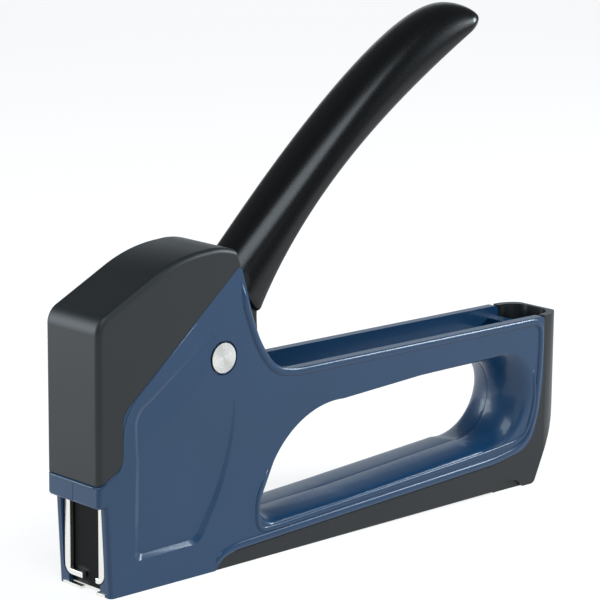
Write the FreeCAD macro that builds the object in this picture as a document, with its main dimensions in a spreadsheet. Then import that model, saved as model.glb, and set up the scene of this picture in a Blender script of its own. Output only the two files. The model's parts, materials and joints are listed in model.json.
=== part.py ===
import FreeCAD, Part
import os
from math import cos, sin, radians, sqrt

# Hand staple gun in millimetres.  X = 0 is the front lower edge of the nose and +X runs to the rear,
# Z = 0 is the plane the gun stands on, and Y = 0 is the plane where the two half shells meet.

os.makedirs("parts", exist_ok=True)
doc = FreeCAD.newDocument("staple_gun")
V = FreeCAD.Vector

# ---------------------------------------------------------------- driving dimensions
DIMENSIONS = {
    # shell
    "half_width": 9.85,         # mid-plane to the side of the blue shell
    "cap_half_width": 10.05,
    "cover_half_width": 9.5,
    "parting_gap": 0.12,        # between the two half shells
    "channel_half_width": 7.4,  # inside of the open-topped channel
    "tower_half_width": 7.4,    # inner tower under the cap
    "chamber_half_width": 6.2,  # plunger chamber
    "tunnel_half_width": 6.7,   # magazine tunnel
    "bridge_base": 22.6,        # underside of the band across the nose
    # lever
    "pivot_x": 35.2,
    "pivot_z": 53.5,
    "rivet_radius": 3.0,
    "rivet_head_radius": 3.75,
    "rivet_recess_radius": 4.3,
    "rivet_recess_depth": 0.9,
    "running_gap": 0.05,        # radial, on turning and sliding fits
    "arm_half_width": 6.85,
    "cheek": 1.5,               # thickness of the arm's cheeks
    "lever_angle": 41.0,        # full squeeze
    "lift_radius": 17.0,        # pivot to lift pin
    "lift_pin_radius": 1.6,
    # driver
    "blade_front": 0.8,
    "blade_thick": 1.0,
    "blade_width": 11.2,
    "blade_base": 1.0,
    "plunger_base": 36.0,
    "plunger_top": 52.0,
    "plunger_rear": 15.0,
    "plunger_width": 11.6,
    "spring_x": 9.2,
    "spring_cup_floor": 39.5,
    "spring_top": 66.0,
    "spring_radius": 3.6,
    "spring_wire": 1.3,
    "spring_turns": 8.0,
    # nose
    "guide_front": -0.6,
    "guide_thick": 1.3,
    "guide_half_width": 7.5,
    "window_half_width": 5.45,
    "guide_base": 2.8,
    "guide_lip": 1.4,
    "guide_top": 28.0,
    "guide_round": 2.6,
    "sole_thick": 0.8,
    "sole_rear": 31.0,
    "slot_near": 4.7,           # the slot between the feet lies off the mid-plane
    "slot_far": 1.1,
    # magazine
    "channel_roof": 8.45,
    "sheet_steel": 0.6,
    "rail_half_width": 5.05,
    "rail_base": 2.65,
    "rail_top": 7.2,
    "rail_front": 2.1,
    "rail_rear": 146.0,
    "nut_front": 146.2,
    "rod_rear": 148.6,
    "wire": 0.5,                # staple wire
    "staple_half_width": 5.7,
    "strip_length": 50.0,
    "pusher_length": 9.0,
    "rod_radius": 0.9,
    "rod_z": 4.6,
}

sheet = doc.addObject("Spreadsheet::Sheet", "dimensions")
for row, (name, value) in enumerate(DIMENSIONS.items(), start=1):
    sheet.set(f"A{row}", name)
    sheet.set(f"B{row}", str(value))
    sheet.setAlias(f"B{row}", name)
doc.recompute()


def dim(name):
    """The value of a named cell."""
    return float(getattr(sheet, name))


# ---------------------------------------------------------------- helpers
def bind(obj, **sizes):
    """Tie properties of obj to expressions in the sheet's names, written bare."""
    for prop, text in sizes.items():
        for name in sorted(DIMENSIONS, key=len, reverse=True):
            text = replace_word(text, name)
        obj.setExpression(prop.replace("__", "."), text)


def replace_word(text, name):
    """Put the sheet in front of a bare cell name."""
    out, start = "", 0
    while True:
        at = text.find(name, start)
        if at < 0:
            return out + text[start:]
        end = at + len(name)
        before = text[at - 1] if at else " "
        after = text[end] if end < len(text) else " "
        whole = not (before.isalnum() or before in "_.") and not (after.isalnum() or after == "_")
        out += text[start:at] + ("dimensions." + name if whole else name)
        start = end


def box(label, x, y, z):
    """A Part::Box from expressions: each of x, y and z is (low, high)."""
    item = doc.addObject("Part::Box", label)
    bind(item, Length=f"({x[1]}) - ({x[0]})", Width=f"({y[1]}) - ({y[0]})", Height=f"({z[1]}) - ({z[0]})",
         Placement__Base__x=x[0], Placement__Base__y=y[0], Placement__Base__z=z[0])
    return item


def pin_y(label, x, z, radius, low, high):
    """A cylinder along Y."""
    item = doc.addObject("Part::Cylinder", label)
    item.Placement = FreeCAD.Placement(V(0, 0, 0), FreeCAD.Rotation(V(1, 0, 0), -90))
    bind(item, Radius=radius, Height=f"({high}) - ({low})",
         Placement__Base__x=x, Placement__Base__y=low, Placement__Base__z=z)
    return item


def pin_x(label, y, z, radius, low, high):
    """A cylinder along X."""
    item = doc.addObject("Part::Cylinder", label)
    item.Placement = FreeCAD.Placement(V(0, 0, 0), FreeCAD.Rotation(V(0, 1, 0), 90))
    bind(item, Radius=radius, Height=f"({high}) - ({low})",
         Placement__Base__x=low, Placement__Base__y=y, Placement__Base__z=z)
    return item


def add_outline(sketch, steps):
    """Closed outline: steps[0] is the start, then ("to", point) lines and ("by", middle, end) arcs."""
    here = steps[0]
    for step in steps[1:]:
        if step[0] == "to":
            sketch.addGeometry(Part.LineSegment(V(*here, 0), V(*step[1], 0)), False)
        else:
            sketch.addGeometry(Part.Arc(V(*here, 0), V(*step[1], 0), V(*step[2], 0)), False)
        here = step[-1]
    if here != steps[0]:
        sketch.addGeometry(Part.LineSegment(V(*here, 0), V(*steps[0], 0)), False)


def prism(label, steps, low, high):
    """An XZ outline carried along Y from low to high, both expressions."""
    sketch = doc.addObject("Sketcher::SketchObject", label + "_outline")
    sketch.Placement = FreeCAD.Placement(V(0, 0, 0), FreeCAD.Rotation(V(1, 0, 0), 90))
    add_outline(sketch, steps)
    bind(sketch, Placement__Base__y=low)
    item = doc.addObject("Part::Extrusion", label)
    item.Base = sketch
    item.DirMode = "Custom"
    item.Dir = V(0, 1, 0)
    item.Solid = True
    bind(item, LengthFwd=f"({high}) - ({low})")
    return item


def plan_prism(label, steps, low, high):
    """An XY outline carried up Z from low to high."""
    sketch = doc.addObject("Sketcher::SketchObject", label + "_outline")
    add_outline(sketch, steps)
    bind(sketch, Placement__Base__z=low)
    item = doc.addObject("Part::Extrusion", label)
    item.Base = sketch
    item.DirMode = "Custom"
    item.Dir = V(0, 0, 1)
    item.Solid = True
    bind(item, LengthFwd=f"({high}) - ({low})")
    return item


def cut(label, base, *tools):
    """base less every tool."""
    item = doc.addObject("Part::Cut", label)
    item.Base = base
    item.Tool = tools[0] if len(tools) == 1 else fuse(label + "_tools", *tools)
    return item


def fuse(label, *items):
    """All items joined."""
    item = doc.addObject("Part::MultiFuse", label)
    item.Shapes = list(items)
    return item


def common(label, *items):
    """What all items share."""
    item = doc.addObject("Part::MultiCommon", label)
    item.Shapes = list(items)
    return item


def both_sides(label, steps, half):
    """An XZ outline carried across the gun, half each way from the mid-plane."""
    return prism(label, steps, f"0 - ({half})", half)


def on_side_face(edge, half):
    """True for an edge that lies in either side face."""
    ends = [abs(abs(v.Point.y) - half) < 1e-4 for v in edge.Vertexes]
    middle = edge.valueAt((edge.FirstParameter + edge.LastParameter) / 2)
    return all(ends) and abs(abs(middle.y) - half) < 1e-4


def middle_of(edge):
    """Half-way point of an edge."""
    return edge.valueAt((edge.FirstParameter + edge.LastParameter) / 2)


# ---------------------------------------------------------------- blue shell, whole width
# The outline runs round the side face: nose, cap line, back of the head, channel rim, rear, lower edge.
shell_outline = [
    (-0.4, 0.0),
    ("to", (-1.9, 29.1)),
    ("to", (1.9, 31.0)),
    ("by", (3.2, 32.3), (3.7, 34.1)),
    ("to", (3.7, 42.2)),
    ("by", (4.7, 45.2), (7.0, 47.4)),
    ("to", (39.4, 74.9)),
    ("by", (40.5, 75.1), (41.2, 74.1)),
    ("to", (44.6, 62.3)),
    ("by", (47.2, 56.1), (50.6, 50.9)),
    ("by", (54.6, 48.1), (60.0, 47.2)),
    ("to", (149.4, 46.8)),
    ("by", (150.4, 46.4), (150.8, 45.4)),
    ("to", (150.8, 35.0)),
    ("by", (150.0, 23.2), (148.3, 16.6)),
    ("by", (146.0, 12.3), (141.5, 9.8)),
    ("to", (132.0, 8.3)),
    ("to", (43.0, 4.1)),
    ("to", (39.6, 3.9)),
    ("by", (37.0, 3.6), (35.2, 2.7)),
    ("to", (32.6, 0.0)),
]
shell_block = both_sides("shell_block", shell_outline, "half_width")


def front_corners(label, block, radius, least):
    """Round the upright front edges of a block whose side outline was carried across."""
    doc.recompute()
    half = block.Shape.BoundBox.YMax
    picked = []
    for number, edge in enumerate(block.Shape.Edges, start=1):
        if on_side_face(edge, half) and middle_of(edge).x < 0 and edge.Length > least:
            picked.append((number, radius, radius))
    item = doc.addObject("Part::Fillet", label)
    item.Base = block
    item.Edges = picked
    return item


FRONT_ROUND = 1.1
shell_round = front_corners("shell_round", shell_block, FRONT_ROUND, 20.0)

# the band across the nose under the cap
BRIDGE_BASE = dim("bridge_base")
bridge_block = both_sides("bridge_block", [
    (-3.0, BRIDGE_BASE), ("by", (-3.6, BRIDGE_BASE + 0.25), (-3.85, BRIDGE_BASE + 0.85)), ("to", (-3.85, 28.2)),
    ("to", (1.9, 31.0)), ("to", (1.9, BRIDGE_BASE))], "half_width")
bridge = front_corners("bridge", bridge_block, FRONT_ROUND, 4.0)

# an inner tower goes up inside the cap and holds the plunger and its spring
tower = both_sides("tower", [(-1.05, 26.0), ("to", (-1.05, 63.9)), ("by", (-0.5, 66.2), (1.1, 67.6)),
                             ("to", (14.8, 74.5)), ("to", (14.8, 26.0))], "tower_half_width")

# ---------------------------------------------------------------- hand opening
# The rim outline on the side face and the crown line on the mid-plane run through matching points.
OPENING_RIM = [(46.8, 14.2), (47.6, 10.4), (51.8, 8.0), (78.5, 9.6), (127.0, 12.5), (139.6, 15.3), (146.6, 24.5),
               (144.6, 34.4), (134.0, 38.9), (104.0, 38.2), (76.0, 36.7), (62.0, 33.9), (51.6, 24.4)]
OPENING_CROWN = [(48.0, 14.6), (49.2, 11.7), (52.4, 10.0), (78.5, 10.9), (126.0, 14.3), (135.4, 17.2), (139.0, 24.5),
                 (137.3, 32.6), (131.0, 36.4), (104.0, 36.9), (76.0, 35.5), (63.2, 33.0), (53.0, 23.6)]
OPENING_ARCS = (1, 5, 7, 11)
CROWN_STEPS = 6


def outline_steps(points, arc_middles):
    """Outline steps through points in order; each index in arc_middles is the middle of an arc."""
    steps = [points[0]]
    n = 1
    while n < len(points):
        if n in arc_middles:
            steps.append(("by", points[n], points[(n + 1) % len(points)]))
            n += 2
        else:
            steps.append(("to", points[n]))
            n += 1
    return steps


def opening_section(number):
    """One section of the opening: step 0 on the mid-plane, the last on the side face."""
    turn = radians(90.0 * number / CROWN_STEPS)
    out = 1 - cos(turn)
    points = [(a[0] + out * (b[0] - a[0]), a[1] + out * (b[1] - a[1]))
              for a, b in zip(OPENING_CROWN, OPENING_RIM)]
    return outline_steps(points, OPENING_ARCS), sin(turn)


def opening_cutter(label, side):
    """Half of the hand opening's tool, on one side: a loft that widens to the rim like a quarter ellipse."""
    sections = []
    for number in range(CROWN_STEPS + 1):
        steps, reach = opening_section(number)
        sketch = doc.addObject("Sketcher::SketchObject", f"{label}_{number}")
        sketch.Placement = FreeCAD.Placement(V(0, 0, 0), FreeCAD.Rotation(V(1, 0, 0), 90))
        add_outline(sketch, steps)
        bind(sketch, Placement__Base__y=f"{side} * half_width * {reach:.5f}")
        sections.append(sketch)
    loft = doc.addObject("Part::Loft", label)
    loft.Sections = sections
    loft.Solid = True
    loft.Ruled = False
    return loft


opening = fuse("opening", opening_cutter("opening_near", -1), opening_cutter("opening_far", 1))

# ---------------------------------------------------------------- hollows of the shell
# lever chamber in the head, running back as the open channel of the upper bar
lever_chamber = both_sides("lever_chamber", [
    (14.8, 36.0), ("to", (18.0, 13.0)), ("to", (43.6, 13.0)), ("by", (45.4, 18.5), (49.0, 26.0)),
    ("by", (55.6, 34.6), (66.0, 38.4)), ("to", (76.0, 40.0)), ("to", (100.0, 41.4)), ("to", (146.8, 41.6)),
    ("to", (146.8, 90.0)), ("to", (14.8, 90.0))], "channel_half_width")
rear_step = box("rear_step", ("146", "155"), ("-channel_half_width", "channel_half_width"), ("43.8", "60"))
column_pocket = box("column_pocket", ("143.6", "155"), ("-6.4", "6.4"), ("18.5", "38.5"))
plunger_chamber = box("plunger_chamber", ("0.7", "15"), ("-chamber_half_width", "chamber_half_width"),
                      ("34", "spring_top + 2"))
driver_slot = box("driver_slot", ("guide_front", "2.05"), ("-5.95", "5.95"), ("-1", "35"))
SEAT_GAP = 0.3              # shows as the dark line round the steel guide


def lower_corners_rounded(label, block, radius):
    """Round the two lower edges of a block that run along X."""
    doc.recompute()
    bottom = block.Shape.BoundBox.ZMin
    half = block.Shape.BoundBox.YMax
    item = doc.addObject("Part::Fillet", label)
    item.Base = block
    item.Edges = [(number, radius, radius) for number, edge in enumerate(block.Shape.Edges, start=1)
                  if abs(middle_of(edge).z - bottom) < 0.01 and abs(abs(middle_of(edge).y) - half) < 0.01]
    return item


guide_seat = lower_corners_rounded(
    "guide_seat", box("guide_seat_block", ("-5", "guide_front + guide_thick + 0.05"),
                      (f"-guide_half_width - {SEAT_GAP}", f"guide_half_width + {SEAT_GAP}"),
                      (f"guide_base - {SEAT_GAP}", "bridge_base")), dim("guide_round") + SEAT_GAP)
guide_pocket = box("guide_pocket", ("guide_front - 0.05", "guide_front + guide_thick + 0.05"),
                   ("-guide_half_width - 0.1", "guide_half_width + 0.1"), ("bridge_base - 1", "guide_top + 0.1"))
exit_slot = box("exit_slot", ("-4", "5.5"), ("-slot_near", "slot_far"), ("-1", f"guide_base - {SEAT_GAP}"))
sole_seat = box("sole_seat", ("-4", "sole_rear + 0.1"), ("-8.1", "8.1"), ("-1", "sole_thick"))
tunnel = box("tunnel", ("2.05", "160"), ("-tunnel_half_width", "tunnel_half_width"), ("2.5", "channel_roof + 0.05"))
rivet_hole = pin_y("rivet_hole", "pivot_x", "pivot_z", "rivet_radius + 0.02", "-20", "20")

# Two shallow panels with sloping walls overlap in each side.  The lower one is deepest at its foot and fades out
# upwards; the upper one is deepest along the cap line and fades out towards the rear and down.
LOWER_RIM = [(6.5, 44.0), (6.5, 10.6), (7.0, 8.1), (9.6, 7.5), (24.6, 7.9), (28.0, 8.7), (29.9, 11.4),
             (34.8, 20.0), (40.6, 44.0)]
LOWER_FLOOR = [(8.7, 44.0), (8.7, 10.9), (8.9, 9.6), (10.0, 9.1), (24.0, 9.4), (26.6, 10.1), (28.2, 12.2),
               (32.9, 20.6), (38.6, 44.0)]
LOWER_ARCS = (2, 5, 7)
LOWER_LEAN = (0.85, (0.0, 8.0), 0.0, 1.34)
UPPER_RIM = [(35.5, 55.0), (6.5, 20.5), (6.5, 41.5), (7.9, 45.3), (11.1, 47.5), (32.0, 62.1)]
UPPER_FLOOR = [(34.5, 55.0), (8.3, 23.5), (8.3, 41.0), (9.5, 44.1), (12.2, 46.0), (31.6, 59.6)]
UPPER_ARCS = (3,)
UPPER_LEAN = (0.45, (11.1, 47.5), 230.0, 2.15)
PANEL_PROUD = 0.3           # how far the cutting tool stands out of the side face


def panel_section(label, side, lean, points, arcs):
    """Outline in a plane at a depth in the side face at one point, turned about a heading through that point."""
    depth, at, heading, angle = lean
    point = V(at[0], side * (dim("half_width") - depth), at[1])
    axis = V(cos(radians(heading)), 0, sin(radians(heading)))
    turn = FreeCAD.Rotation(axis, -side * angle) * FreeCAD.Rotation(V(1, 0, 0), 90)
    sketch = doc.addObject("Sketcher::SketchObject", label)
    sketch.Placement = FreeCAD.Placement(point, turn) * FreeCAD.Placement(V(-at[0], -at[1], 0), FreeCAD.Rotation())
    add_outline(sketch, outline_steps(points, arcs))
    return sketch


def panel(label, side, lean, floor, rim, arcs):
    """Tool for one panel: a ruled loft from its floor to its rim."""
    item = doc.addObject("Part::Loft", label)
    item.Sections = [panel_section(label + "_floor", side, lean, floor, arcs),
                     panel_section(label + "_rim", side, (-PANEL_PROUD, (0.0, 0.0), 0.0, 0.0), rim, arcs)]
    item.Solid = True
    item.Ruled = True
    return item


SIDES = (("near", -1), ("far", 1))
lower_panels = [panel(f"lower_panel_{name}", side, LOWER_LEAN, LOWER_FLOOR, LOWER_RIM, LOWER_ARCS)
                for name, side in SIDES]
upper_panels = [panel(f"upper_panel_{name}", side, UPPER_LEAN, UPPER_FLOOR, UPPER_RIM, UPPER_ARCS)
                for name, side in SIDES]

SCREWS = [(10.0, 16.0), (27.5, 25.0), (147.0, 28.5), (143.6, 15.2)]
bosses = [pin_y(f"boss_{n}", str(x), str(z), "3.1", "-channel_half_width - 0.4", "channel_half_width + 0.4")
          for n, (x, z) in enumerate(SCREWS[1:3])]
screw_holes = [pin_y(f"screw_hole_{n}", str(x), str(z), "1.3", "-6.6", "12") for n, (x, z) in enumerate(SCREWS)]
screw_recesses = [pin_y(f"screw_recess_{n}", str(x), str(z), "2.6", "7.5", "12") for n, (x, z) in enumerate(SCREWS)]
rivet_recesses = [pin_y("rivet_recess_near", "pivot_x", "pivot_z", "rivet_recess_radius",
                        "-20", "rivet_recess_depth - half_width"),
                  pin_y("rivet_recess_far", "pivot_x", "pivot_z", "rivet_recess_radius",
                        "half_width - rivet_recess_depth", "20")]

head_hollow = fuse("head_hollow", lever_chamber, plunger_chamber, driver_slot, guide_seat, guide_pocket, exit_slot,
                   sole_seat, tunnel, column_pocket, rear_step, *lower_panels)
shell_solid = fuse("shell_solid", shell_round, bridge, tower)
shell_hollow = cut("shell_hollow", shell_solid, opening, head_hollow)
shell_bossed = fuse("shell_bossed", shell_hollow, *bosses)
shell_drilled = cut("shell_drilled", shell_bossed, rivet_hole, *screw_holes, *screw_recesses, *rivet_recesses)
shell_near_panel = cut("shell_near_panel", shell_drilled, upper_panels[0])
shell = cut("shell", shell_near_panel, upper_panels[1])

parts = {}
near_space = box("near_space", ("-50", "200"), ("-50", "-parting_gap / 2"), ("-50", "200"))
far_space = box("far_space", ("-50", "200"), ("parting_gap / 2", "50"), ("-50", "200"))
parts["right_housing"] = common("right_housing", shell, near_space)
parts["left_housing"] = common("left_housing", shell, far_space)

# ---------------------------------------------------------------- cap
cap_block = both_sides("cap_block", [
    (-3.85, 28.4), ("to", (-3.85, 64.2)), ("by", (-3.1, 67.3), (-0.6, 69.4)), ("to", (13.2, 76.4)),
    ("by", (21.6, 79.6), (30.2, 80.8)), ("by", (34.6, 80.8), (38.9, 79.8)), ("to", (40.2, 75.6)),
    ("to", (39.2, 75.0)), ("to", (6.8, 47.6)), ("by", (4.4, 45.2), (3.5, 42.2)), ("to", (3.5, 34.2)),
    ("by", (3.0, 32.5), (1.8, 31.2))], "cap_half_width")
doc.recompute()
CAP_ROUND = 1.5
cap_edges = []
for number, edge in enumerate(cap_block.Shape.Edges, start=1):
    at = middle_of(edge)
    if on_side_face(edge, dim("cap_half_width")) and (at.x < -0.5 and at.z > 40 or at.z > 70 and at.x < 38.0):
        cap_edges.append((number, CAP_ROUND, CAP_ROUND))
cap_round = doc.addObject("Part::Fillet", "cap_round")
cap_round.Base = cap_block
cap_round.Edges = cap_edges
cap_inside = both_sides("cap_inside", [
    (-1.4, 20.0), ("to", (-1.4, 64.0)), ("by", (-0.8, 66.3), (0.8, 67.7)), ("to", (14.2, 74.5)),
    ("by", (21.8, 77.5), (30.4, 78.7)), ("to", (60.0, 78.7)), ("to", (60.0, 20.0))], "tower_half_width + 0.1")
parts["head_cap"] = cut("head_cap", cap_round, cap_inside)

# ---------------------------------------------------------------- rivet, screws
rivet_shaft = pin_y("rivet_shaft", "pivot_x", "pivot_z", "rivet_radius", "-half_width", "half_width")
rivet_heads = [pin_y("rivet_head_near", "pivot_x", "pivot_z", "rivet_head_radius", "-half_width - 0.1",
                     "rivet_recess_depth - half_width"),
               pin_y("rivet_head_far", "pivot_x", "pivot_z", "rivet_head_radius",
                     "half_width - rivet_recess_depth", "half_width + 0.1")]
parts["pivot_rivet"] = fuse("pivot_rivet", rivet_shaft, *rivet_heads)

screws = []
for n, (x, z) in enumerate(SCREWS):
    screws.append(pin_y(f"screw_shaft_{n}", str(x), str(z), "1.25", "-6.5", "7.5"))
    screws.append(pin_y(f"screw_head_{n}", str(x), str(z), "2.4", "7.5", "9.2"))
screw_blanks = fuse("screw_blanks", *screws)
drives = [box(f"drive_{n}", (f"{x} - 0.35", f"{x} + 0.35"), ("8.5", "10"), (f"{z} - 1.6", f"{z} + 1.6"))
          for n, (x, z) in enumerate(SCREWS)]
drives += [box(f"drive_cross_{n}", (f"{x} - 1.6", f"{x} + 1.6"), ("8.5", "10"), (f"{z} - 0.35", f"{z} + 0.35"))
           for n, (x, z) in enumerate(SCREWS)]
parts["housing_screws"] = cut("housing_screws", screw_blanks, *drives)

# ---------------------------------------------------------------- lever
PX = dim("pivot_x")
PZ = dim("pivot_z")
START = radians(dim("lever_angle") / 2)
PIN_X = PX - dim("lift_radius") * cos(START)
PIN_Z = PZ - dim("lift_radius") * sin(START)
ARM_END = 2.9

arm_steps = [
    (PIN_X - ARM_END, PIN_Z),
    ("by", (PIN_X - 0.7 * ARM_END, PIN_Z + 0.7 * ARM_END), (PIN_X + 0.3, PIN_Z + ARM_END)),
    ("to", (25.6, 53.4)),
    ("by", (28.4, 60.4), (33.4, 66.0)),
    ("to", (43.4, 72.4)),
    ("to", (50.1, 76.9)),
    ("to", (63.8, 91.5)),
    ("by", (77.8, 103.7), (91.9, 114.5)),
    ("to", (94.4, 111.1)),
    ("by", (75.5, 95.9), (54.3, 74.6)),
    ("to", (49.0, 66.6)),
    ("by", (48.5, 62.0), (48.7, 58.4)),
    ("by", (46.6, 52.4), (41.4, 48.6)),
    ("by", (35.2, 46.6), (28.8, 47.2)),
    ("to", (PIN_X + 0.5, PIN_Z - ARM_END + 0.05)),
    ("by", (PIN_X - 0.72 * ARM_END, PIN_Z - 0.68 * ARM_END), (PIN_X - ARM_END, PIN_Z)),
]
arm_block = both_sides("arm_block", arm_steps, "arm_half_width")
arm_gap = both_sides("arm_gap", [
    (10.0, 40.0), ("to", (10.0, 60.0)), ("to", (27.6, 56.0)), ("by", (30.4, 60.6), (34.4, 64.0)), ("to", (44.4, 70.8)),
    ("to", (51.3, 75.5)), ("to", (64.9, 89.9)), ("by", (77.9, 101.3), (88.7, 109.9)), ("to", (110.0, 100.0)),
    ("to", (60.0, 40.0))], "arm_half_width - cheek")
arm_bore = pin_y("arm_bore", "pivot_x", "pivot_z", "rivet_radius + running_gap", "-20", "20")
lift_bore = pin_y("lift_bore", str(PIN_X), str(PIN_Z), "lift_pin_radius", "-20", "20")
GRIP_PINS = [(58.3, 82.7), (83.2, 105.1)]
grip_bores = [pin_y(f"grip_bore_{n}", str(x), str(z), "1.25", "-20", "20") for n, (x, z) in enumerate(GRIP_PINS)]
parts["lever_arm"] = cut("lever_arm", arm_block, arm_gap, arm_bore, lift_bore, *grip_bores)

parts["lift_pin"] = pin_y("lift_pin", str(PIN_X), str(PIN_Z), "lift_pin_radius", "-arm_half_width", "arm_half_width")
bushing_outer = pin_y("bushing_outer", "pivot_x", "pivot_z", "rivet_radius + 1.3",
                      "cheek - arm_half_width", "arm_half_width - cheek")
bushing_bore = pin_y("bushing_bore", "pivot_x", "pivot_z", "rivet_radius + running_gap", "-20", "20")
parts["pivot_bushing"] = cut("pivot_bushing", bushing_outer, bushing_bore)
pins = [pin_y(f"grip_pin_{n}", str(x), str(z), "1.25", "-7.8", "7.8") for n, (x, z) in enumerate(GRIP_PINS)]
parts["grip_pins"] = doc.addObject("Part::Compound", "grip_pins")
parts["grip_pins"].Links = pins

# The grip lies between two curves in the mid-plane, one along its underside and one along its back, which meet
# at the tip.  Each section spans them: flat underside, short sides and a round back.
GRIP_UNDERSIDE = [(49.8, 62.6), (66.7, 95.8), (106.2, 114.9), (127.5, 129.5)]
GRIP_BACK = [(39.7, 73.7), (80.9, 113.6), (115.7, 143.7), (127.5, 129.5)]
GRIP_STATIONS = (0.06, 0.14, 0.27, 0.42, 0.58, 0.74, 0.87, 0.95, 0.985)
GRIP_HALF_WIDTH = 8.8
GRIP_SIDE = 0.36            # height of the side as a share of the section's height
GRIP_TIP_FROM = 0.89        # from here on the width falls like a quarter ellipse


def on_curve(points, share):
    """Point of a cubic Bezier curve at share, from 0 to 1."""
    rest = 1 - share
    weights = (rest ** 3, 3 * share * rest ** 2, 3 * share ** 2 * rest, share ** 3)
    return V(sum(w * x for w, (x, z) in zip(weights, points)), 0, sum(w * z for w, (x, z) in zip(weights, points)))


def grip_section(number, share):
    """Closed section of the grip, in a sketch whose X runs along Y and whose Y runs from underside to back."""
    low, high = on_curve(GRIP_UNDERSIDE, share), on_curve(GRIP_BACK, share)
    height = (high - low).Length
    past = max(0.0, (share - GRIP_TIP_FROM) / (1 - GRIP_TIP_FROM))
    half = GRIP_HALF_WIDTH * sqrt(1 - past ** 2)
    sketch = doc.addObject("Sketcher::SketchObject", f"grip_section_{number}")
    up = (high - low).normalize()
    sketch.Placement = FreeCAD.Placement(low, FreeCAD.Rotation(V(0, 1, 0), up, V(0, 1, 0).cross(up), "ZXY"))
    add_outline(sketch, [(-half, 0.0), ("to", (half, 0.0)), ("to", (half, GRIP_SIDE * height)),
                         ("by", (0.0, height), (-half, GRIP_SIDE * height))])
    return sketch


grip_loft = doc.addObject("Part::Loft", "grip_loft")
grip_loft.Sections = [grip_section(n, share) for n, share in enumerate(GRIP_STATIONS)]
grip_loft.Solid = True
grip_loft.Ruled = False
grip_socket = both_sides("grip_socket", arm_steps, "arm_half_width")
grip_pin_holes = [pin_y(f"grip_pin_hole_{n}", str(x), str(z), "1.25", "-7.8", "7.8")
                  for n, (x, z) in enumerate(GRIP_PINS)]
parts["lever_grip"] = cut("lever_grip", grip_loft, grip_socket, *grip_pin_holes)

# ---------------------------------------------------------------- plunger and driver
plunger_body = box("plunger_body", ("blade_front + blade_thick", "plunger_rear"),
                   ("-plunger_width / 2", "plunger_width / 2"), ("plunger_base", "plunger_top"))
plunger_ledge = box("plunger_ledge", ("plunger_rear", "20.9"), ("-4.9", "4.9"),
                    (str(round(PIN_Z + dim("lift_pin_radius") + 0.2, 3)), "plunger_top"))
plunger_blank = fuse("plunger_blank", plunger_body, plunger_ledge)
spring_cup = doc.addObject("Part::Cylinder", "spring_cup")
bind(spring_cup, Radius="spring_radius + spring_wire / 2 + 0.25", Height="30", Placement__Base__x="spring_x",
     Placement__Base__z="spring_cup_floor")
blade_bores = [pin_x(f"blade_bore_{n}", y, "38", "0.8", "0", "4.5") for n, y in enumerate(("-3.2", "3.2"))]
parts["plunger"] = cut("plunger", plunger_blank, spring_cup, *blade_bores)

blade_blank = box("blade_blank", ("blade_front", "blade_front + blade_thick"), ("-blade_width / 2", "blade_width / 2"),
                  ("blade_base", "47"))
parts["driver_blade"] = cut("driver_blade", blade_blank, *blade_bores)
parts["blade_rivets"] = doc.addObject("Part::Compound", "blade_rivets")
parts["blade_rivets"].Links = [pin_x(f"blade_rivet_{n}", y, "38", "0.8", "blade_front", "4.5")
                               for n, y in enumerate(("-3.2", "3.2"))]

helix = doc.addObject("Part::Helix", "drive_helix")
bind(helix, Radius="spring_radius", Pitch="(spring_top - spring_cup_floor - spring_wire - 0.2) / spring_turns",
     Height="spring_top - spring_cup_floor - spring_wire - 0.2", Placement__Base__x="spring_x",
     Placement__Base__z="spring_cup_floor + spring_wire / 2 + 0.1")
wire_round = doc.addObject("Part::Circle", "drive_wire")
wire_round.Placement = FreeCAD.Placement(V(0, 0, 0), FreeCAD.Rotation(V(1, 0, 0), 90))
bind(wire_round, Radius="spring_wire / 2", Placement__Base__x="spring_x + spring_radius",
     Placement__Base__z="spring_cup_floor + spring_wire / 2 + 0.1")
drive_spring = doc.addObject("Part::Sweep", "drive_spring")
drive_spring.Sections = [wire_round]
drive_spring.Spine = helix
drive_spring.Solid = True
drive_spring.Frenet = True
parts["drive_spring"] = drive_spring

seat_plate = box("seat_plate", ("3.4", "14.8"), ("-6", "6"), ("spring_top", "spring_top + 1.9"))
seat_spigot = doc.addObject("Part::Cylinder", "seat_spigot")
bind(seat_spigot, Radius="spring_radius - spring_wire / 2 - 0.3", Height="2.2", Placement__Base__x="spring_x",
     Placement__Base__z="spring_top - 2.2")
parts["spring_seat"] = fuse("spring_seat", seat_plate, seat_spigot)
parts["shock_bumper"] = box("shock_bumper", ("2.3", "14.6"), ("-5.9", "5.9"), ("34", "plunger_base - 0.1"))

# ---------------------------------------------------------------- nose guide and sole
guide_blank = lower_corners_rounded(
    "guide_blank", box("guide_block", ("guide_front", "guide_front + guide_thick"),
                       ("-guide_half_width", "guide_half_width"), ("guide_base", "guide_top")), dim("guide_round"))
window = box("window", ("-5", "5"), ("-window_half_width", "window_half_width"), ("guide_base + guide_lip", "26"))
guide_gap = box("guide_gap", ("-5", "5"), ("0.4 - slot_near", "slot_far - 0.3"), ("0", "5"))
parts["nose_guide"] = cut("nose_guide", guide_blank, window, guide_gap)

sole_blank = box("sole_blank", ("-0.8", "sole_rear"), ("-8", "8"), ("0", "sole_thick"))
sole_slot = box("sole_slot", ("-4", "5.5"), ("-slot_near", "slot_far"), ("-1", "3"))
sole_exit = box("sole_exit", ("0.6", "2.05"), ("-5.95", "5.95"), ("-1", "3"))
parts["sole_plate"] = cut("sole_plate", sole_blank, sole_slot, sole_exit)

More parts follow.
